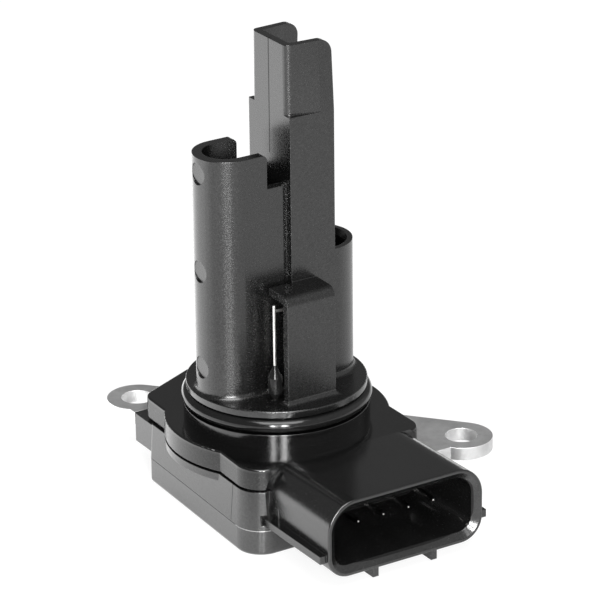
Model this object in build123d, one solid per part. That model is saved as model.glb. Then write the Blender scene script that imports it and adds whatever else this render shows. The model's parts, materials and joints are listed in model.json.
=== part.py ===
from build123d import *
import os

os.makedirs("parts", exist_ok=True)

# Mass airflow sensor. Millimetres, +Z up along the probe, the plug socket points to -Y.
# The origin is on the probe's axis, in the face of the base cover that the sensor stands on.

# How far a cut runs on past the face that it opens, and how near two levels count as the same
overrun = 1.0
level_match = 0.01

# Stack of casings, from the standing face up
cover_height = 3.9
case_height = 5.6
shadow_gap = 0.4
flange_thickness = 3.1
cover_floor = 1.6
casing_wall = 2.0
deck_thickness = 3.3

# Outline of the flange, distances from the probe's axis
flange_front = 16.9
flange_left_front = 14.75
flange_left_rear = 13.4
flange_right = 14.4
flange_bulge_radius = 16.35
flange_rear_left_y = 15.2
flange_rear_corner = (0.4, 21.7)
flange_rear_right = (11.8, 13.2)
flange_right_rear_y = 7.0
flange_front_radius = 3.9
flange_front_right_radius = 3.0
flange_rear_left_radius = 2.5
flange_rear_radius = 5.0
flange_edge_radius = 0.3
spigot_inset = 1.0

# Outline of the circuit case and the cover under it
case_draft = 0.55
case_left_rear = 13.85
case_right_inset = 0.4
case_rear = 13.0
case_rear_left_radius = 1.0
case_rear_right_radius = 3.0
cover_edge_radius = 0.6
cover_seam_radius = 0.15
lip_height = 1.1
ledge_height = 4.4
ledge_rear = 17.7
ledge_rear_left = 13.7
ledge_width = 12.0
ledge_radius = 0.3

# Round collar with the seal
boss_radius = 13.5
boss_height = 2.05
groove_height = 2.35
groove_radius = 11.75
rim_height = 1.1
rim_edge_radius = 0.15
root_radius = 0.8
ring_radius = 1.0
ring_clearance = 0.02

# Open measuring tube on the left of the probe
tube_axis_x = -7.85
tube_rim_room = 0.5
tube_radius = 4.75
tube_wall = 1.4
tube_top = 54.55
tube_lip_x = -4.0
tube_lip_radius = 0.8
notch_floor = 49.5
side_groove_width = 0.8
side_groove_depth = 0.5
side_groove_rise = 0.8
ejector_mark_radius = 1.6
ejector_mark_depth = 0.3
ejector_mark_pitch = 14.7
ejector_mark_first = 22.7
ejector_mark_count = 3

# Column, its lower half-round and the fork at its tip
column_web_x = -0.6
column_half_depth = 5.44
column_wall = 1.2
side_tube_rim_room = 0.96
column_step = 59.5
side_tube_top = 38.4
side_tube_rim_taper = 0.45
side_tube_lap = 0.5
web_window_low = 39.4
web_window_high = 46.0
bypass_height = 7.0
channel_floor = 1.5
fork_top = 69.8
fork_half_depth = 4.5
fork_wall = 0.95
fork_flare_x = 4.5
fork_tip_half_depth = 4.75
fork_corner_radius = 2.0

# Hood over the air temperature bead
hood_left = -4.4
hood_right = 3.5
hood_rim_room = 2.7
hood_wall = 1.2
hood_top = 34.9
hood_bend_radius = 1.6

# Plug socket
socket_centre_x = 1.05
socket_width = 25.7
socket_height = 11.45
socket_rise = 0.4
socket_reach = 15.3
socket_draft = 0.27
socket_core_draft = 0.4
socket_root_depth = 0.5
socket_root_gap = 0.45
socket_wall = 1.4
mouth_rim = 0.5
mouth_bevel_depth = 0.8
mouth_edge_radius = 0.25
socket_top_radius = 4.5
socket_bottom_radius = 3.5
socket_back_stand = 0.9
socket_back_wall = 1.4
rail_height = 1.15
rail_thickness = 1.0
rail_drop = 7.6
rail_front_gap = 0.6
rail_notch = 0.35
side_pad_length = 2.1
side_pad_height = 1.95
side_pad_stand = 0.15
foot_rib_width = 0.95
foot_rib_drop = 1.6
foot_rib_offsets = (-5.2, 4.55)

# Blade terminals
pin_count = 5
pin_pitch = 4.2
pin_size = 0.64
pin_drop = 6.8
pin_recess = 5.8
pin_tip = 0.8
pin_tip_size = 0.22
pin_joggle = 0.7
pin_foot = 4.0
pin_clearance = 0.02
terminal_side_room = 0.64

# Mounting plate
plate_thickness = 1.9
plate_drop = 0.2
left_ear = (-10.55, 22.26)
right_ear = (21.8, -15.4)
ear_radius = 4.52
ear_hole_radius = 2.4
plate_left_neck = 13.65
plate_neck_step = 2.6
plate_front_neck = 18.0
plate_inner_offset = 3.0
plate_window_radius = 3.6
plate_clearance = 0.1

# Circuit board and what stands on it
board_thickness = 1.0
board_gap = 1.6
board_inset = 3.6
board_pillar_radius = 1.1
board_pillar_inset = 5.2
board_pillar_front_y = -6.6
chip_size = 6.0
chip_place = (-1.5, 5.6)
chip_height = 1.2
capacitor_length = 2.0
capacitor_width = 1.25
capacitor_height = 0.9
capacitor_row_x = 6.1
capacitor_pitch = 2.6
capacitor_count = 5
tongue_height = 0.9
tongue_width = 0.9
tongue_clearance = 0.15
bead_seal_width = 0.8
bead_seal_depth = 0.5
bead_seal_inset = 0.6

# Measuring elements and their posts
post_radius = 0.4
post_clearance = 0.05
post_half_gap = 2.2
cold_post_x = 3.6
element_radius = 0.55
element_height = 5.2
bead_radius = 1.05
bead_shoulder = 1.7
bead_x = -4.7
bead_hood_room = 0.95
bead_bottom = 0.1
bead_length = 5.1
bead_lead_radius = 0.21
bead_lead_length = 9.2
bead_link_drop = 0.9
bead_post_offset = 2.0
bead_post_stand = 0.3
post_stand = 0.6

# Places that follow from the collar's rim and the probe on it
rim_radius = tube_radius - tube_axis_x + tube_rim_room
column_right = rim_radius - side_tube_rim_room - column_half_depth
hood_front = rim_radius - hood_rim_room
bead_y = bead_radius + bead_hood_room + hood_wall - hood_front

# Levels that follow from the stack
cover_top = cover_height
case_top = cover_top + case_height
flange_bottom = case_top + shadow_gap
flange_top = flange_bottom + flange_thickness
boss_top = flange_top + boss_height
groove_top = boss_top + groove_height
collar_top = groove_top + rim_height
plate_top = case_top - plate_drop
plate_bottom = plate_top - plate_thickness
deck_bottom = case_top - deck_thickness
board_bottom = cover_floor + board_gap
board_top = board_bottom + board_thickness
socket_top = flange_top + socket_rise
socket_bottom = socket_top - socket_height
socket_mouth = -flange_front - socket_reach
socket_back = -flange_front - socket_back_stand
socket_root = -flange_front + socket_root_depth
rail_top = socket_top - rail_drop
pin_level = socket_top - pin_drop
channel_bottom = collar_top + channel_floor
element_level = collar_top + element_height


def rounded_outline(corners):
    """Closed outline through (x, y, corner radius) points."""
    outline = make_face(Polyline(*[(x, y) for x, y, radius in corners], close=True))
    for x, y, radius in corners:
        if radius > 0:
            corner = outline.vertices().sort_by_distance((x, y))[0]
            outline = fillet(corner, radius)
    return outline


def slab(outline, bottom, top):
    """Plate of a flat outline between two levels."""
    return extrude(Pos(0, 0, bottom) * outline, amount=top - bottom)


def block(x_low, x_high, y_low, y_high, z_low, z_high):
    """Box between six planes."""
    low_corner = (Align.MIN, Align.MIN, Align.MIN)
    return Pos(x_low, y_low, z_low) * Box(x_high - x_low, y_high - y_low, z_high - z_low, align=low_corner)


def rod(x, y, bottom, top, radius):
    """Upright round bar."""
    return Pos(x, y, bottom) * Cylinder(radius, top - bottom, align=(Align.CENTER, Align.CENTER, Align.MIN))


def flange_outline():
    body = rounded_outline([
        (-flange_left_front, -flange_front, flange_front_radius),
        (flange_right, -flange_front, flange_front_right_radius),
        (flange_right, flange_right_rear_y, 0),
        (*flange_rear_right, flange_rear_radius),
        (*flange_rear_corner, flange_rear_radius),
        (-flange_left_rear, flange_rear_left_y, flange_rear_left_radius),
    ])
    return body + Circle(flange_bulge_radius)


def case_outline(draft):
    """Outline of the case, drawn out from the flange's sides by the mould's draft."""
    right = flange_right - case_right_inset + draft
    front = -flange_front - draft
    rear = case_rear + draft
    return rounded_outline([
        (-flange_left_front - draft, front, flange_front_radius),
        (right, front, flange_front_right_radius),
        (right, rear, case_rear_right_radius),
        (-case_left_rear, rear, case_rear_left_radius),
    ])


def seam_inset(distance):
    """Case outline at its seam with the cover, drawn in."""
    return offset(case_outline(case_draft), amount=-distance)


def plate_outline():
    """Two ears joined by a diagonal band with one straight rear edge."""
    run = (Vector(*right_ear) - Vector(*left_ear)).normalized()
    normal = Vector(-run.Y, run.X)
    left_tangent = Vector(*left_ear) + normal * ear_radius
    right_tangent = Vector(*right_ear) + normal * ear_radius
    inner_front_x = (plate_front_neck * normal.Y - plate_inner_offset) / normal.X
    inner_left = plate_left_neck - plate_neck_step
    inner_left_y = (inner_left * normal.X - plate_inner_offset) / normal.Y
    step_y = ledge_rear + plate_clearance
    band = make_face(Polyline(
        (left_tangent.X, left_tangent.Y),
        (right_tangent.X, right_tangent.Y),
        right_ear,
        (right_ear[0], -plate_front_neck),
        (inner_front_x, -plate_front_neck),
        (-inner_left, inner_left_y),
        (-inner_left, step_y),
        (-plate_left_neck, step_y),
        (-plate_left_neck, left_ear[1]),
        left_ear,
        close=True,
    ))
    return band + Pos(*left_ear) * Circle(ear_radius) + Pos(*right_ear) * Circle(ear_radius)


def post_places():
    """Centres of the four element posts and the two posts of the air temperature bead."""
    elements = [(x, y) for x in (tube_axis_x, cold_post_x) for y in (-post_half_gap, post_half_gap)]
    return elements + [(bead_x, bead_y), (bead_x + bead_post_offset, bead_y)]


def post_holes(bottom, top):
    return [rod(x, y, bottom, top, post_radius + post_clearance) for x, y in post_places()]


def flange():
    """Flat flange with an inset spigot that sits on the case."""
    plate = slab(flange_outline(), flange_bottom, flange_top)
    plate = fillet(plate.edges().group_by(Axis.Z)[-1], flange_edge_radius)
    arch_back = socket_root + pin_clearance
    plate -= socket_block(-socket_root_gap, -socket_root_gap, socket_mouth, arch_back)
    spigot = slab(offset(case_outline(0), amount=-spigot_inset), case_top, flange_bottom)
    return plate + spigot


def collar():
    """Round boss, seal groove and rim."""
    boss = rod(0, 0, flange_top, boss_top, boss_radius)
    neck = rod(0, 0, boss_top, groove_top, groove_radius)
    rim = rod(0, 0, groove_top, collar_top, rim_radius)
    rim = fillet(rim.edges().filter_by(GeomType.CIRCLE), rim_edge_radius)
    return boss + neck + rim


def half_round(centre_x, radius, straight_end_x):
    """Disc on the X axis, drawn out to a straight end."""
    low = min(centre_x, straight_end_x)
    high = max(centre_x, straight_end_x)
    strip = Pos((low + high) / 2, 0) * Rectangle(high - low, 2 * radius)
    return Pos(centre_x, 0) * Circle(radius) + strip


def measuring_tube():
    """Half-round tube, open towards the column above the notch."""
    lower = slab(half_round(tube_axis_x, tube_radius, column_web_x), collar_top, notch_floor)
    upper = slab(half_round(tube_axis_x, tube_radius, tube_lip_x), notch_floor, tube_top)
    tube = lower + upper
    lip_edges = tube.edges().filter_by(Axis.Y).group_by(Axis.Z)[-1]
    return fillet(lip_edges, tube_lip_radius)


def tube_channel():
    """Space inside the measuring tube."""
    bore = half_round(tube_axis_x, tube_radius - tube_wall, column_web_x)
    return slab(bore, channel_bottom, tube_top)


def column():
    """Square column with a half-round side tube on its lower part."""
    depth = 2 * column_half_depth
    centre_x = (column_web_x + column_right) / 2
    shaft = slab(Pos(centre_x, 0) * Rectangle(column_right - column_web_x, depth), collar_top, column_step)
    side = slab(half_round(column_right, column_half_depth, centre_x), collar_top, side_tube_top)
    return shaft + side


def column_channel():
    """Space inside the column: open to +X above the side tube, round below it."""
    inner_half = column_half_depth - column_wall
    inner_x = column_web_x + column_wall
    tube_bore = slab(half_round(column_right, inner_half, inner_x), channel_bottom, side_tube_top)
    open_side = block(
        inner_x, column_right + overrun,
        -inner_half, inner_half,
        side_tube_top - side_tube_lap, column_step,
    )
    return tube_bore + open_side + rim_countersink(inner_half)


def rim_countersink(inner_half):
    """Bevel inside the rim of the side tube, on its round half only."""
    depth = 2 * side_tube_rim_taper
    from_top = (Align.CENTER, Align.CENTER, Align.MAX)
    cone = Cone(inner_half, inner_half + side_tube_rim_taper, depth, align=from_top)
    half = block(0, 2 * inner_half, -2 * inner_half, 2 * inner_half, -depth, 0)
    return Pos(column_right, 0, side_tube_top) * (cone & half)


def web_windows():
    """Openings between the measuring tube and the column."""
    half = tube_radius - tube_wall
    inner_x = column_web_x + column_wall
    low_x = column_web_x - overrun
    high_x = inner_x + overrun
    upper = block(low_x, high_x, -half, half, web_window_low, web_window_high)
    lower = block(low_x, high_x, -half, half, channel_bottom, channel_bottom + bypass_height)
    return upper + lower


def fork_outline(flare_half, wall, web_x, right, corner):
    """Outline of the fork, or of its channel one wall further in, flaring to the open side."""
    near = fork_half_depth - wall
    far = flare_half - wall
    return rounded_outline([
        (web_x, -near, corner),
        (web_x, near, corner),
        (fork_flare_x, far, 0),
        (right, far, 0),
        (right, -far, 0),
        (fork_flare_x, -far, 0),
    ])


def fork_block(wall, web_x, right, corner):
    """Solid that narrows from the column's depth to the depth of the tip."""
    bottom = fork_outline(column_half_depth, wall, web_x, right, corner)
    top = fork_outline(fork_tip_half_depth, wall, web_x, right, corner)
    return loft([Pos(0, 0, column_step) * bottom, Pos(0, 0, fork_top) * top], ruled=True)


def fork():
    """U-shaped tip, open to +X."""
    body = fork_block(0, column_web_x, column_right, fork_wall)
    tips = body.edges().filter_by(Axis.Y).group_by(Axis.X)[-1].group_by(Axis.Z)[-1]
    return fillet(tips, fork_corner_radius)


def fork_channel():
    """Space between the cheeks of the fork."""
    return fork_block(fork_wall, column_web_x + column_wall, column_right + overrun, 0)


def hood():
    """Bent cover over the air temperature bead, open at both sides."""
    outer = block(hood_left, hood_right, -hood_front, -column_half_depth, collar_top, hood_top)
    outer_bend = outer.edges().filter_by(Axis.X).sort_by(Axis.Z)[-2:].sort_by(Axis.Y)[0]
    outer = fillet(outer_bend, hood_bend_radius)
    inner = block(
        hood_left - overrun, hood_right + overrun,
        -hood_front + hood_wall, -column_half_depth,
        collar_top, hood_top - hood_wall,
    )
    inner_bend = inner.edges().filter_by(Axis.X).sort_by(Axis.Z)[-2:].sort_by(Axis.Y)[0]
    inner = fillet(inner_bend, hood_bend_radius - hood_wall)
    return outer - inner


def side_grooves():
    """Narrow grooves where the tube's walls meet the column."""
    low_x = column_web_x - side_groove_width
    outer = tube_radius + overrun
    inner = tube_radius - side_groove_depth
    bottom = collar_top + side_groove_rise
    front = block(low_x, column_web_x, -outer, -inner, bottom, notch_floor + overrun)
    rear = block(low_x, column_web_x, inner, outer, bottom, notch_floor + overrun)
    return front + rear


def ejector_marks():
    """Shallow round marks down the outside of the measuring tube."""
    marks = []
    face_x = tube_axis_x - tube_radius
    for index in range(ejector_mark_count):
        level = ejector_mark_first + index * ejector_mark_pitch
        disc = Cylinder(ejector_mark_radius, 2 * ejector_mark_depth)
        marks.append(Pos(face_x, 0, level) * Rot(0, 90, 0) * disc)
    return marks


def rounded_roots(solid):
    """Fillets the foot of every wall that stands on the collar."""
    level_edges = solid.edges().filter_by(lambda edge: edge.bounding_box().size.Z < level_match)
    feet = []
    for edge in level_edges:
        centre = edge.center()
        on_collar = abs(centre.Z - collar_top) < level_match
        inside_rim = Vector(centre.X, centre.Y).length < rim_radius - rim_edge_radius - level_match
        if on_collar and inside_rim:
            feet.append(edge)
    return fillet(feet, root_radius)


def probe_body():
    """Flange, collar and probe, moulded in one piece."""
    solid = collar() + measuring_tube() + column() + hood()
    solid = rounded_roots(solid)
    solid += flange() + fork()
    solid -= tube_channel()
    solid -= column_channel()
    solid -= fork_channel()
    solid -= web_windows()
    solid -= side_grooves()
    solid -= ejector_marks()
    solid -= post_holes(case_top, channel_bottom)
    return solid


def socket_outline(inset):
    """Socket's outline in the XZ plane, drawn in or out by an inset."""
    half = socket_width / 2 - inset
    low = socket_bottom + inset
    high = socket_top - inset
    top_radius = socket_top_radius - inset
    bottom_radius = socket_bottom_radius - inset
    return rounded_outline([
        (socket_centre_x - half, low, bottom_radius),
        (socket_centre_x + half, low, bottom_radius),
        (socket_centre_x + half, high, top_radius),
        (socket_centre_x - half, high, top_radius),
    ])


def socket_section(inset, y):
    return Plane.XZ.offset(-y) * socket_outline(inset)


def socket_block(front_inset, back_inset, y_front, y_back):
    """Solid between two socket outlines at two depths."""
    return loft([socket_section(front_inset, y_front), socket_section(back_inset, y_back)])


def pin_places():
    start = socket_centre_x - pin_pitch * (pin_count - 1) / 2
    return [start + index * pin_pitch for index in range(pin_count)]


def socket():
    """Plug socket with side rails and foot ribs."""
    shell = socket_block(0, socket_draft, socket_mouth, socket_root)
    shell = fillet(shell.edges().group_by(Axis.Y)[0], mouth_edge_radius)
    half = socket_width / 2
    shell += block(
        socket_centre_x - half - rail_thickness, socket_centre_x + half + rail_thickness,
        socket_mouth + rail_front_gap, socket_root,
        rail_top - rail_height, rail_top,
    )
    pad_half = half - socket_draft + side_pad_stand
    shell += block(
        socket_centre_x - pad_half, socket_centre_x + pad_half,
        -flange_front - side_pad_length, socket_root,
        rail_top, rail_top + side_pad_height,
    )
    for place in foot_rib_offsets:
        left = socket_centre_x + place
        shell += block(
            left, left + foot_rib_width,
            socket_mouth + rail_front_gap, -flange_front,
            socket_bottom - foot_rib_drop, socket_bottom + socket_wall,
        )
    shell -= socket_block(mouth_rim, socket_wall, socket_mouth, socket_mouth + mouth_bevel_depth)
    shell -= socket_block(socket_wall, socket_wall + socket_core_draft, socket_mouth, socket_back)
    return shell


def terminal_half_width():
    return (pin_count - 1) * pin_pitch / 2 + pin_size / 2 + terminal_side_room


def terminal_passage():
    """Room behind the socket where the terminals step down to the board."""
    half = terminal_half_width()
    return block(
        socket_centre_x - half, socket_centre_x + half,
        socket_back + socket_back_wall, -flange_front + casing_wall,
        cover_top, pin_level + pin_size,
    )


def ledge_outline():
    """Block at the rear left that carries one end of the mounting plate."""
    right = ledge_width - case_left_rear
    front = case_rear - casing_wall
    return rounded_outline([
        (-case_left_rear, front, 0),
        (right, front, 0),
        (right, ledge_rear, ledge_radius),
        (-ledge_rear_left, ledge_rear, ledge_radius),
    ])


def root_groove():
    """Room round the root of the socket and its rails, cut into the front of the case."""
    half = socket_width / 2 + rail_thickness + rail_notch
    groove = socket_block(-socket_root_gap, -socket_root_gap, socket_mouth, socket_root)
    return groove + block(
        socket_centre_x - half, socket_centre_x + half,
        socket_mouth, socket_root,
        rail_top - rail_height, rail_top + rail_notch,
    )


def circuit_case():
    """Case with the deck over the circuit, the ledge and the plug socket."""
    seam = Pos(0, 0, cover_top) * case_outline(case_draft)
    top = Pos(0, 0, case_top) * case_outline(0)
    solid = loft([seam, top], ruled=True)
    solid += slab(Circle(flange_bulge_radius), case_top - lip_height, case_top)
    solid += slab(ledge_outline(), plate_top - ledge_height, plate_top)
    solid -= root_groove()
    solid += socket()
    solid -= slab(case_outline(case_draft), 0, cover_top)
    solid -= slab(seam_inset(casing_wall), cover_top, deck_bottom)
    solid -= terminal_passage()
    solid -= slab(offset(plate_outline(), amount=plate_clearance), plate_bottom, case_top)
    for x, y in pillar_places():
        solid += rod(x, y, board_top, deck_bottom, board_pillar_radius)
    for x in pin_places():
        half = pin_size / 2 + pin_clearance
        solid -= block(
            x - half, x + half,
            socket_back - overrun, socket_back + socket_back_wall + overrun,
            pin_level - half, pin_level + half,
        )
    solid -= post_holes(deck_bottom, case_top)
    return solid


def pillar_places():
    """Centres of the four pillars that hold the board."""
    left = -case_left_rear + board_pillar_inset
    right = flange_right - case_right_inset - board_pillar_inset
    rear = case_rear - board_pillar_inset
    return [(x, y) for x in (left, right) for y in (board_pillar_front_y, rear)]


def mounting_plate():
    """Sheet metal plate with two screw ears."""
    outline = plate_outline()
    outline -= Pos(*left_ear) * Circle(ear_hole_radius)
    outline -= Pos(*right_ear) * Circle(ear_hole_radius)
    outline -= Pos(cold_post_x, 0) * Circle(plate_window_radius)
    return slab(outline, plate_bottom, plate_top)


def base_cover():
    """Tray that closes the case from below, with a locating tongue and board rests."""
    solid = slab(case_outline(case_draft), 0, cover_top)
    bottom_edges = solid.faces().sort_by(Axis.Z)[0].edges()
    solid = fillet(bottom_edges, cover_edge_radius)
    seam_edges = solid.faces().sort_by(Axis.Z)[-1].edges()
    solid = fillet(seam_edges, cover_seam_radius)
    solid -= slab(seam_inset(casing_wall), cover_floor, cover_top)
    tongue_start = casing_wall + tongue_clearance
    tongue = slab(seam_inset(tongue_start), cover_floor, cover_top + tongue_height)
    tongue -= slab(seam_inset(tongue_start + tongue_width), cover_floor, cover_top + tongue_height)
    half = terminal_half_width()
    tongue -= block(
        socket_centre_x - half, socket_centre_x + half,
        -flange_front, 0,
        cover_top, cover_top + tongue_height,
    )
    solid += tongue
    solid -= seal_groove()
    for x, y in pillar_places():
        solid += rod(x, y, cover_floor, board_bottom, board_pillar_radius)
    return solid


def seal_groove():
    ring = seam_inset(bead_seal_inset) - seam_inset(bead_seal_inset + bead_seal_width)
    return slab(ring, cover_top - bead_seal_depth, cover_top)


def seal_ring():
    """Round-section seal in the collar's groove."""
    level = (boss_top + groove_top) / 2
    return Pos(0, 0, level) * Torus(groove_radius + ring_radius + ring_clearance, ring_radius)


def connector_pin(x):
    """Stepped square terminal with a pyramid tip."""
    half = pin_size / 2
    tip_y = socket_mouth + pin_recess
    back_y = socket_back + socket_back_wall + pin_joggle
    foot_level = board_top + half
    pin = block(x - half, x + half, tip_y + pin_tip, back_y + pin_size, pin_level - half, pin_level + half)
    pin += block(x - half, x + half, back_y, back_y + pin_size, foot_level - half, pin_level)
    foot_end = -flange_front + casing_wall + pin_foot
    pin += block(x - half, x + half, back_y, foot_end, foot_level - half, foot_level + half)
    tip_plane = Plane(origin=(x, tip_y + pin_tip, pin_level), x_dir=(1, 0, 0), z_dir=(0, -1, 0))
    root = tip_plane * Rectangle(pin_size, pin_size)
    end = tip_plane.offset(pin_tip) * Rectangle(pin_tip_size, pin_tip_size)
    tip = loft([root, end])
    return pin + tip


def circuit_board():
    return slab(seam_inset(board_inset), board_bottom, board_top)


def control_chip():
    x, y = chip_place
    half = chip_size / 2
    return block(x - half, x + half, y - half, y + half, board_top, board_top + chip_height)


def chip_capacitors():
    """Row of ceramic capacitors beside the chip."""
    row = []
    start = -capacitor_pitch * (capacitor_count - 1) / 2
    for index in range(capacitor_count):
        y = start + index * capacitor_pitch
        row.append(block(
            capacitor_row_x - capacitor_length / 2, capacitor_row_x + capacitor_length / 2,
            y - capacitor_width / 2, y + capacitor_width / 2,
            board_top, board_top + capacitor_height,
        ))
    return Compound(children=row)


def sensing_element(x):
    """Ceramic rod between two posts."""
    length = 2 * (post_half_gap - post_radius)
    return Pos(x, 0, element_level) * Rot(90, 0, 0) * Cylinder(element_radius, length)


def air_temperature_bead():
    """Glass bead with a pointed shoulder."""
    bottom = collar_top + bead_bottom
    radius = bead_radius
    profile = make_face(Polyline(
        (0, 0),
        (post_radius, 0),
        (radius, radius),
        (radius, bead_length - bead_shoulder),
        (bead_lead_radius, bead_length),
        (0, bead_length),
        close=True,
    ))
    body = revolve(Plane.XZ * profile, Axis.Z)
    return Pos(bead_x, bead_y, bottom) * body


def air_temperature_lead():
    """Straight lead up from the bead with a cross link welded to the long post."""
    bottom = collar_top + bead_bottom + bead_length
    top = bottom + bead_lead_length
    lead = rod(bead_x, bead_y, bottom, top, bead_lead_radius)
    link_length = bead_post_offset - post_radius
    from_start = (Align.CENTER, Align.CENTER, Align.MIN)
    link = Rot(0, 90, 0) * Cylinder(bead_lead_radius, link_length, align=from_start)
    return lead + Pos(bead_x, bead_y, top - bead_link_drop) * link


def bead_posts():
    """Short post under the bead and long post beside its lead."""
    short_top = collar_top + bead_bottom
    long_top = short_top + bead_length + bead_lead_length - bead_link_drop + bead_post_stand
    short = rod(bead_x, bead_y, board_top, short_top, post_radius)
    long = rod(bead_x + bead_post_offset, bead_y, board_top, long_top, post_radius)
    return short, long


def element_posts():
    """Four posts from the board up to the sensing elements."""
    top = element_level + post_stand
    return [rod(x, y, board_top, top, post_radius) for x, y in post_places()[:4]]


def export(node, solid):
    solid.label = node
    export_step(solid, os.path.join("parts", node + ".step"))


def main():
    export("probe_body", probe_body())
    export("circuit_case", circuit_case())
    export("mounting_plate", mounting_plate())
    export("base_cover", base_cover())
    export("seal_ring", seal_ring())
    for number, x in enumerate(pin_places(), start=1):
        export(f"connector_pin_{number}", connector_pin(x))
    export("circuit_board", circuit_board())
    export("control_chip", control_chip())
    export("chip_capacitors", chip_capacitors())
    export("cover_seal", seal_groove())
    export("hot_wire_element", sensing_element(tube_axis_x))
    export("cold_wire_element", sensing_element(cold_post_x))
    for number, post in enumerate(element_posts(), start=1):
        export(f"element_post_{number}", post)
    short_post, long_post = bead_posts()
    export("air_temperature_bead", air_temperature_bead())
    export("air_temperature_lead", air_temperature_lead())
    export("bead_post_short", short_post)
    export("bead_post_long", long_post)


main()
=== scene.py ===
import json
import math

import bpy
from mathutils import Matrix, Vector

# Looks of the mass airflow sensor: studio, camera and the finish of every surface. Metres.
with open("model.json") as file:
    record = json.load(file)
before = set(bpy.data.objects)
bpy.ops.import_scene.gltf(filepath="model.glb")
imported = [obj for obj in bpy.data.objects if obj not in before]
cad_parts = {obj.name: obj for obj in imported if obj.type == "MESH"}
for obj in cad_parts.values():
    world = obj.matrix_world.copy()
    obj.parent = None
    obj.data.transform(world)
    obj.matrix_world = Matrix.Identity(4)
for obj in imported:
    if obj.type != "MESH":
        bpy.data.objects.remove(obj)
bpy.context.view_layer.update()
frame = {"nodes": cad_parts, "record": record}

# Camera, fitted to the photograph
camera_place = (-0.2658, -0.4327, 0.2425)
camera_azimuth = math.radians(-31.957)
camera_elevation = math.radians(22.696)
camera_roll = math.radians(-0.655)
camera_near = 0.05
camera_far = 20
focal_pixels = 3851.5
image_pixels = 600
sensor_width_mm = 36.0

# Floor: nearly white to the camera, mostly by its own glow, so that a faint shadow shows on it
floor_size = 6.0
floor_tone = 0.9
floor_camera_glow = 0.86
floor_camera_dimming = 0.7
floor_gloss_dimming = 0.3
floor_sheen = 0.09
floor_sheen_rough = 0.25

# Floor as glossy surfaces see it: brighter to the rear left, dark at the front left, paler on the right.
# Each pair of ends says where along its direction a change starts and stops.
pool_direction = (-0.707, 0.707, 0)
pool_ends = (-0.03, 0.045)
pool_dim_glow = 0.12
pool_bright_glow = 1.65
dark_left_ends = (-0.03, -0.06)
dark_front_ends = (0.04, -0.02)
dark_depth = 0.75
right_direction = (0.8, 0.6, 0)
right_ends = (0.02, 0.08)
right_glow = 0.35

# Room round the object: grey, with one paler wall and a bright horizon
room_level = 0.22
pale_wall_level = 0.6
pale_wall_direction = (0.62, -0.74, 0)
pale_wall_ends = (0.3, 0.55)
horizon_level = 0.9
horizon_ends = (-0.05, 0.1)
background_level = 1.0

# Lights, all aimed at the middle of the object
light_aim = (0, 0, 0.03)
studio_lights = {
    "strip_light_left": {"place": (-0.336, -0.454, 0.20), "width": 0.045, "height": 0.30, "power": 1.8},
    "strip_light_right": {"place": (-0.223, -0.519, 0.20), "width": 0.055, "height": 0.30, "power": 2.6},
    "top_softbox": {"place": (-0.20, -0.40, 0.95), "width": 0.7, "height": 0.7, "power": 9},
}

# Heights on the housing, which is polished between two of them and has the mould's texture elsewhere
flange_top = 0.0130
polish_low = 0.0128
polish_high = 0.0181
texture_blend = 0.0004
casing_texture = 0.8

# Mottling and grain, the same on every finish
noise_ends = (0.3, 0.7)
noise_roughness = 0.6
mottle_scale = 260
mottle_detail = 4.0
tone_variation = 0.15
grain_detail = 3.0
smoother_grain = 0.05
rougher_grain = 0.07
gloss_variation = 0.15
bump_strength = 0.35

# Softened edges, a little paler than the faces. Below the first distance from the level of the flange's top
# no edge is softened, and from the second on every edge is.
edge_gain = 0.5
edge_mask_ends = (1.0, 0.8)
bevel_samples = 12
soft_edge_ends = (0.0003, 0.0004)

# Marks of the mould, a painted highlight along the cover's seam, and painted shade inside the plug socket
parting_line_depth = 0.8
seam_highlight_gain = 24.0
socket_shade_depth = 0.7
core_roundness = 4.0

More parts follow.
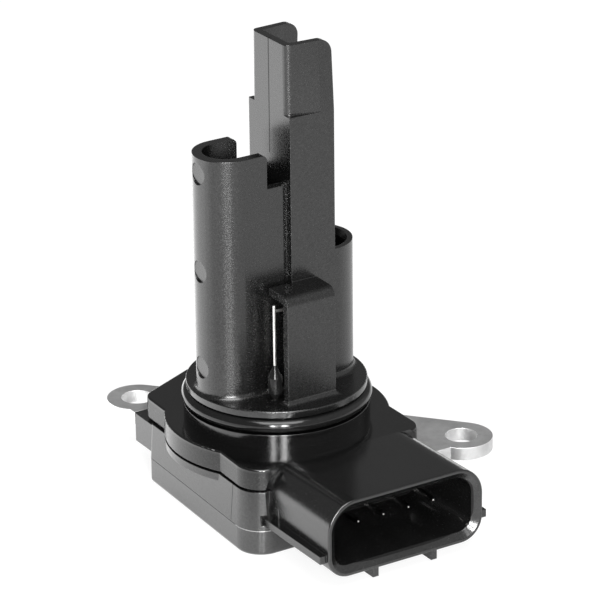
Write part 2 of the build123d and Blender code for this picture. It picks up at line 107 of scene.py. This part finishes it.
# Finishes. A line or core is given by the middle and the half size of the box that holds it.
finishes = {
    "moulded_housing": {
        "base": (0.003, 0.003, 0.003), "rough": 0.12, "specular": 0.9,
        "grain_scale": 3600, "grain_depth": 0.000015, "edge_radius": 0.00016,
        "texture_rough": 0.14, "casing_dullness": 0.44,
        "parting_line": ((-0.0006, 0, 0.0614), (0.0005, 0.00013, 0.0086)),
    },
    "moulded_case": {
        "base": (0.005, 0.005, 0.005), "rough": 0.12, "specular": 1.0,
        "grain_scale": 3600, "grain_depth": 0.00003, "texture_rough": 0.11,
        "parting_line": ((-0.0150, -0.0116, 0.0068), (0.0010, 0.00008, 0.0028)),
        # Painted shade: gloss lowered inside the plug socket, standing in for the shade there
        "socket_painted_shade": ((0.00105, -0.0239, 0.007675), (0.0117, 0.0080, 0.0046)),
    },
    "moulded_cover": {
        "base": (0.012, 0.012, 0.012), "rough": 0.14, "specular": 1.0,
        "grain_scale": 3600, "grain_depth": 0.00002,
        # Painted highlight: the bright line along the seam at the cover's top edge, put in the base colour
        "seam_painted_highlight": ((-0.0095, -0.0155, 0.0039), (0.0070, 0.0026, 0.00013)),
    },
    "blanked_plate": {
        "base": (0.76, 0.76, 0.76), "rough": 0.50, "metallic": 1.0,
        "grain_scale": 3000, "grain_depth": 0.00003,
    },
    "seal_rubber_skin": {
        "base": (0.006, 0.006, 0.006), "rough": 0.12,
        "grain_scale": 2500, "grain_depth": 0.00002,
    },
    "tinned_pin": {
        "base": (0.86, 0.85, 0.83), "rough": 0.09, "metallic": 1.0,
        "grain_scale": 4000, "grain_depth": 0.00001, "edge_radius": 0.00003,
    },
    "lead_wire": {
        "base": (0.85, 0.84, 0.82), "rough": 0.34, "metallic": 1.0,
        "grain_scale": 4000, "grain_depth": 0.00001,
    },
    "board_skin": {
        "base": (0.70, 0.70, 0.66), "rough": 0.5,
        "grain_scale": 4000, "grain_depth": 0.00001,
    },
    "chip_skin": {
        "base": (0.03, 0.03, 0.03), "rough": 0.55,
        "grain_scale": 5000, "grain_depth": 0.00002,
    },
    "fired_ceramic": {
        "base": (0.45, 0.36, 0.26), "rough": 0.45,
        "grain_scale": 4000, "grain_depth": 0.00001,
    },
    "glazed_element": {
        "base": (0.70, 0.72, 0.70), "rough": 0.25,
        "grain_scale": 3000, "grain_depth": 0.00001,
    },
    "bead_skin": {
        "base": (0.008, 0.008, 0.008), "rough": 0.10, "specular": 0.3,
        "grain_scale": 2500, "grain_depth": 0.00002,
    },
}
finish_by_slot = {
    "housing_plastic": "moulded_housing",
    "cover_plastic": "moulded_cover",
    "plate_metal": "blanked_plate",
    "seal_rubber": "seal_rubber_skin",
    "tinned_terminal": "tinned_pin",
    "board_laminate": "board_skin",
    "chip_resin": "chip_skin",
    "ceramic_body": "fired_ceramic",
    "element_ceramic": "glazed_element",
    "bead_glass": "bead_skin",
}
finish_by_node = {
    "bead_post_short": "bead_skin",
    "air_temperature_lead": "lead_wire",
    "circuit_case": "moulded_case",
}


def add_camera():
    """Camera at the photograph's place, turned by its azimuth, elevation and roll."""
    level_right = Vector((math.cos(camera_azimuth), math.sin(camera_azimuth), 0))
    back = Vector((
        math.sin(camera_azimuth) * math.cos(camera_elevation),
        -math.cos(camera_azimuth) * math.cos(camera_elevation),
        math.sin(camera_elevation),
    ))
    level_up = back.cross(level_right)
    right = math.cos(camera_roll) * level_right + math.sin(camera_roll) * level_up
    up = math.cos(camera_roll) * level_up - math.sin(camera_roll) * level_right
    data = bpy.data.cameras.new("photo_camera")
    data.sensor_width = sensor_width_mm
    data.lens = focal_pixels / image_pixels * sensor_width_mm
    data.clip_start = camera_near
    data.clip_end = camera_far
    camera = bpy.data.objects.new("photo_camera", data)
    camera.matrix_world = Matrix.Translation(camera_place) @ Matrix((right, up, back)).transposed().to_4x4()
    bpy.context.collection.objects.link(camera)
    bpy.context.scene.camera = camera


def node_tree(owner):
    """Empty node tree of a material or world."""
    owner.use_nodes = True
    tree = owner.node_tree
    tree.nodes.clear()
    return tree


def add_node(tree, kind, values=None, **settings):
    """Adds a node, sets its properties, and sets or links its inputs by name or number."""
    node = tree.nodes.new(kind)
    for name, value in settings.items():
        setattr(node, name, value)
    for name, value in (values or {}).items():
        if isinstance(value, bpy.types.NodeSocket):
            tree.links.new(value, node.inputs[name])
        else:
            node.inputs[name].default_value = value
    return node


def math_node(tree, operation, *values):
    """Result of a calculation with up to three values."""
    return add_node(tree, "ShaderNodeMath", dict(enumerate(values)), operation=operation).outputs[0]


def lowered(tree, level, mask, share):
    """A level less a share of a mask."""
    return math_node(tree, "SUBTRACT", level, math_node(tree, "MULTIPLY", mask, share))


def ramp(tree, value, ends, low=0.0, high=1.0):
    """Goes from low to high while a value goes from one end to the other, and stays level beyond them."""
    values = {"Value": value, "From Min": ends[0], "From Max": ends[1], "To Min": low, "To Max": high}
    return add_node(tree, "ShaderNodeMapRange", values).outputs[0]


def dot(tree, first, second):
    """How far one vector reaches along another."""
    node = add_node(tree, "ShaderNodeVectorMath", {0: first, 1: second}, operation="DOT_PRODUCT")
    return node.outputs["Value"]


def axes(tree, place):
    """X, Y and Z of a place."""
    return add_node(tree, "ShaderNodeSeparateXYZ", {0: place}).outputs


def grey(tree, level):
    """Colour with three equal parts."""
    return add_node(tree, "ShaderNodeCombineColor", {0: level, 1: level, 2: level}).outputs[0]


def object_place(tree):
    """Place of the shaded point in the frame that all nodes share."""
    return add_node(tree, "ShaderNodeTexCoord").outputs["Object"]


def floor_in_gloss(tree):
    """Glow of the floor in glossy surfaces, which gives them bright and dark stretches."""
    place = object_place(tree)
    pool = ramp(tree, dot(tree, place, pool_direction), pool_ends, pool_dim_glow, pool_bright_glow)
    left = ramp(tree, axes(tree, place)["X"], dark_left_ends, high=dark_depth)
    front = ramp(tree, axes(tree, place)["Y"], dark_front_ends)
    pool = math_node(tree, "MULTIPLY", pool, lowered(tree, 1.0, left, front))
    right = ramp(tree, dot(tree, place, right_direction), right_ends, high=right_glow)
    return math_node(tree, "ADD", pool, right)


def floor_material():
    """Floor that is near white with a soft shadow to the camera, and has light and dark pools in gloss."""
    material = bpy.data.materials.new("studio_floor")
    tree = node_tree(material)
    path = add_node(tree, "ShaderNodeLightPath")
    camera_ray = path.outputs["Is Camera Ray"]
    glossy_ray = path.outputs["Is Glossy Ray"]
    indirect_ray = math_node(tree, "MAXIMUM", glossy_ray, path.outputs["Is Transmission Ray"])
    camera_glow = math_node(tree, "MULTIPLY", camera_ray, floor_camera_glow)
    indirect_glow = math_node(tree, "MULTIPLY", indirect_ray, floor_in_gloss(tree))
    glow = math_node(tree, "ADD", camera_glow, indirect_glow)
    shade = lowered(tree, floor_tone, camera_ray, floor_camera_dimming)
    shade = lowered(tree, shade, glossy_ray, floor_gloss_dimming)
    diffuse = add_node(tree, "ShaderNodeBsdfDiffuse", {"Color": grey(tree, shade)})
    emission = add_node(tree, "ShaderNodeEmission", {"Strength": glow})
    matt = add_node(tree, "ShaderNodeAddShader", {0: diffuse.outputs[0], 1: emission.outputs[0]})
    polish = add_node(tree, "ShaderNodeBsdfGlossy", {"Roughness": floor_sheen_rough})
    sheen = math_node(tree, "MULTIPLY", glossy_ray, floor_sheen)
    mixed = add_node(tree, "ShaderNodeMixShader", {0: sheen, 1: matt.outputs[0], 2: polish.outputs[0]})
    add_node(tree, "ShaderNodeOutputMaterial", {"Surface": mixed.outputs[0]})
    return material


def add_floor():
    """Square floor under the object."""
    mesh = bpy.data.meshes.new("studio_floor")
    half = floor_size / 2
    corners = [(-half, -half, 0), (half, -half, 0), (half, half, 0), (-half, half, 0)]
    mesh.from_pydata(corners, [], [(0, 1, 2, 3)])
    mesh.materials.append(floor_material())
    floor = bpy.data.objects.new("studio_floor", mesh)
    bpy.context.collection.objects.link(floor)


def set_world():
    """Room that lights the object and shows in its gloss, and is white to the camera and through glass."""
    world = bpy.data.worlds.new("studio_room")
    bpy.context.scene.world = world
    tree = node_tree(world)
    direction = add_node(tree, "ShaderNodeTexCoord").outputs["Generated"]
    towards_pale_wall = dot(tree, direction, pale_wall_direction)
    wall = ramp(tree, towards_pale_wall, pale_wall_ends, room_level, pale_wall_level)
    room = ramp(tree, axes(tree, direction)["Z"], horizon_ends, horizon_level, wall)
    path = add_node(tree, "ShaderNodeLightPath")
    white = math_node(tree, "MAXIMUM", path.outputs["Is Camera Ray"], path.outputs["Is Transmission Ray"])
    level = add_node(tree, "ShaderNodeMix", {0: white, 2: room, 3: background_level}, data_type="FLOAT")
    background = add_node(tree, "ShaderNodeBackground", {"Strength": level.outputs[0]})
    add_node(tree, "ShaderNodeOutputWorld", {"Surface": background.outputs[0]})


def add_light(name, place, width, height, power):
    """Rectangular lamp aimed at the object."""
    data = bpy.data.lights.new(name, "AREA")
    data.shape = "RECTANGLE"
    data.size = width
    data.size_y = height
    data.energy = power
    light = bpy.data.objects.new(name, data)
    light.location = place
    light.rotation_mode = "QUATERNION"
    light.rotation_quaternion = (Vector(light_aim) - Vector(place)).to_track_quat("-Z", "Y")
    bpy.context.collection.objects.link(light)


def add_lights():
    """The studio's three lamps."""
    for name, sizes in studio_lights.items():
        add_light(name, **sizes)


def noise(tree, coords, scale, detail):
    """Fine uneven pattern in three dimensions."""
    values = {"Vector": coords, "Scale": scale, "Detail": detail, "Roughness": noise_roughness}
    return add_node(tree, "ShaderNodeTexNoise", values).outputs["Fac"]


def edge_mask(tree, coords, radius):
    """Rounded normal, and a mask that is strongest on sharp edges, with none at the top of the flange."""
    distance = math_node(tree, "ABSOLUTE", math_node(tree, "SUBTRACT", axes(tree, coords)["Z"], flange_top))
    radius = ramp(tree, distance, soft_edge_ends, high=radius)
    rounded = add_node(tree, "ShaderNodeBevel", {"Radius": radius}, samples=bevel_samples).outputs[0]
    flat = add_node(tree, "ShaderNodeNewGeometry").outputs["Normal"]
    return rounded, ramp(tree, dot(tree, rounded, flat), edge_mask_ends)


def tint(tree, base, factor):
    """Multiplies a colour by a varying factor. Sockets 6, 7 and output 2 are the mix node's colours."""
    values = {0: 1.0, 6: (*base, 1.0), 7: grey(tree, factor)}
    mixed = add_node(tree, "ShaderNodeMix", values, data_type="RGBA", blend_type="MULTIPLY")
    return mixed.outputs[2]


def texture_mask(tree, coords):
    """Masks of the mould's texture: all of it, with none between the polish levels, and the casing's."""
    height = axes(tree, coords)["Z"]
    probe = ramp(tree, height, (polish_high - texture_blend, polish_high + texture_blend))
    casing = ramp(tree, height, (polish_low, polish_low - texture_blend), high=casing_texture)
    return math_node(tree, "ADD", probe, casing), casing


def box_mask(tree, coords, middle, half_size):
    """One inside a thin box, zero elsewhere."""
    inside = 1.0
    for place, centre, reach in zip(axes(tree, coords), middle, half_size):
        near = math_node(tree, "COMPARE", place, centre, reach)
        inside = math_node(tree, "MULTIPLY", inside, near)
    return inside


def core_mask(tree, coords, middle, half_size):
    """One inside a round-cornered core that runs along Y, zero elsewhere."""
    place = axes(tree, coords)
    reach = 0.0
    for axis in (0, 2):
        offset = math_node(tree, "SUBTRACT", place[axis], middle[axis])
        share = math_node(tree, "DIVIDE", offset, half_size[axis])
        reach = math_node(tree, "ADD", reach, math_node(tree, "POWER", share, core_roundness))
    within = math_node(tree, "LESS_THAN", reach, 1.0)
    lengthwise = math_node(tree, "COMPARE", place[1], middle[1], half_size[1])
    return math_node(tree, "MULTIPLY", within, lengthwise)


def surface_tone(tree, coords, edges, seam_painted_highlight):
    """Factor on the base colour: mottled, higher on edges, and far higher on a painted highlight along a
    seam.
    """
    mottle = noise(tree, coords, mottle_scale, mottle_detail)
    tone = ramp(tree, mottle, noise_ends, 1 - tone_variation, 1 + tone_variation)
    tone = math_node(tree, "ADD", tone, math_node(tree, "MULTIPLY", edges, edge_gain))
    # Painted highlight along a seam, added to the base colour
    if seam_painted_highlight:
        pale = math_node(tree, "MULTIPLY", box_mask(tree, coords, *seam_painted_highlight), seam_highlight_gain)
        tone = math_node(tree, "ADD", tone, pale)
    return tone


def dulled(tree, gloss, mask, share):
    """Gloss with a share taken off where the mask is one."""
    return math_node(tree, "MULTIPLY", gloss, lowered(tree, 1.0, mask, share))


def surface_material(name, base, rough, grain_scale, grain_depth, edge_radius=0.00015, metallic=0.0,
                     specular=0.5, texture_rough=0.0, casing_dullness=0.0, parting_line=None,
                     seam_painted_highlight=None, socket_painted_shade=None):
    """Moulded, blanked or fired surface with grain, mottling, softened edges and its own mould marks; where
    given, also a painted seam highlight in its colour and painted shade in its gloss.
    """
    material = bpy.data.materials.new(name)
    tree = node_tree(material)
    coords = object_place(tree)
    rounded, edges = edge_mask(tree, coords, edge_radius)
    grain = noise(tree, coords, grain_scale, grain_detail)
    roughness = ramp(tree, grain, noise_ends, rough - smoother_grain, rough + rougher_grain)
    low_gloss, high_gloss = specular * (1 - gloss_variation), specular * (1 + gloss_variation)
    gloss = ramp(tree, grain, noise_ends, low_gloss, high_gloss)
    if texture_rough:
        textured, casing = texture_mask(tree, coords)
        roughness = math_node(tree, "ADD", roughness, math_node(tree, "MULTIPLY", textured, texture_rough))
        gloss = dulled(tree, gloss, casing, casing_dullness)
    if parting_line:
        gloss = dulled(tree, gloss, box_mask(tree, coords, *parting_line), parting_line_depth)
    # Painted shade: less gloss inside the plug socket, so that it looks dark
    if socket_painted_shade:
        gloss = dulled(tree, gloss, core_mask(tree, coords, *socket_painted_shade), socket_shade_depth)
    bump = add_node(tree, "ShaderNodeBump", {
        "Height": grain,
        "Normal": rounded,
        "Strength": bump_strength,
        "Distance": grain_depth,
    })
    shader = add_node(tree, "ShaderNodeBsdfPrincipled", {
        "Base Color": tint(tree, base, surface_tone(tree, coords, edges, seam_painted_highlight)),
        "Roughness": roughness,
        "Metallic": metallic,
        "Specular IOR Level": gloss,
        "Normal": bump.outputs[0],
    })
    add_node(tree, "ShaderNodeOutputMaterial", {"Surface": shader.outputs[0]})
    return material


def finish_nodes():
    """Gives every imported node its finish, by its slot or by its own name."""
    materials = {name: surface_material(name, **finish) for name, finish in finishes.items()}
    for part in frame["record"]["subparts"]:
        name = finish_by_node.get(part["node"], finish_by_slot[part["material_slot"]])
        for slot in frame["nodes"][part["node"]].material_slots:
            slot.material = materials[name]


bpy.context.scene.view_settings.view_transform = "Standard"
add_camera()
add_floor()
set_world()
add_lights()
finish_nodes()
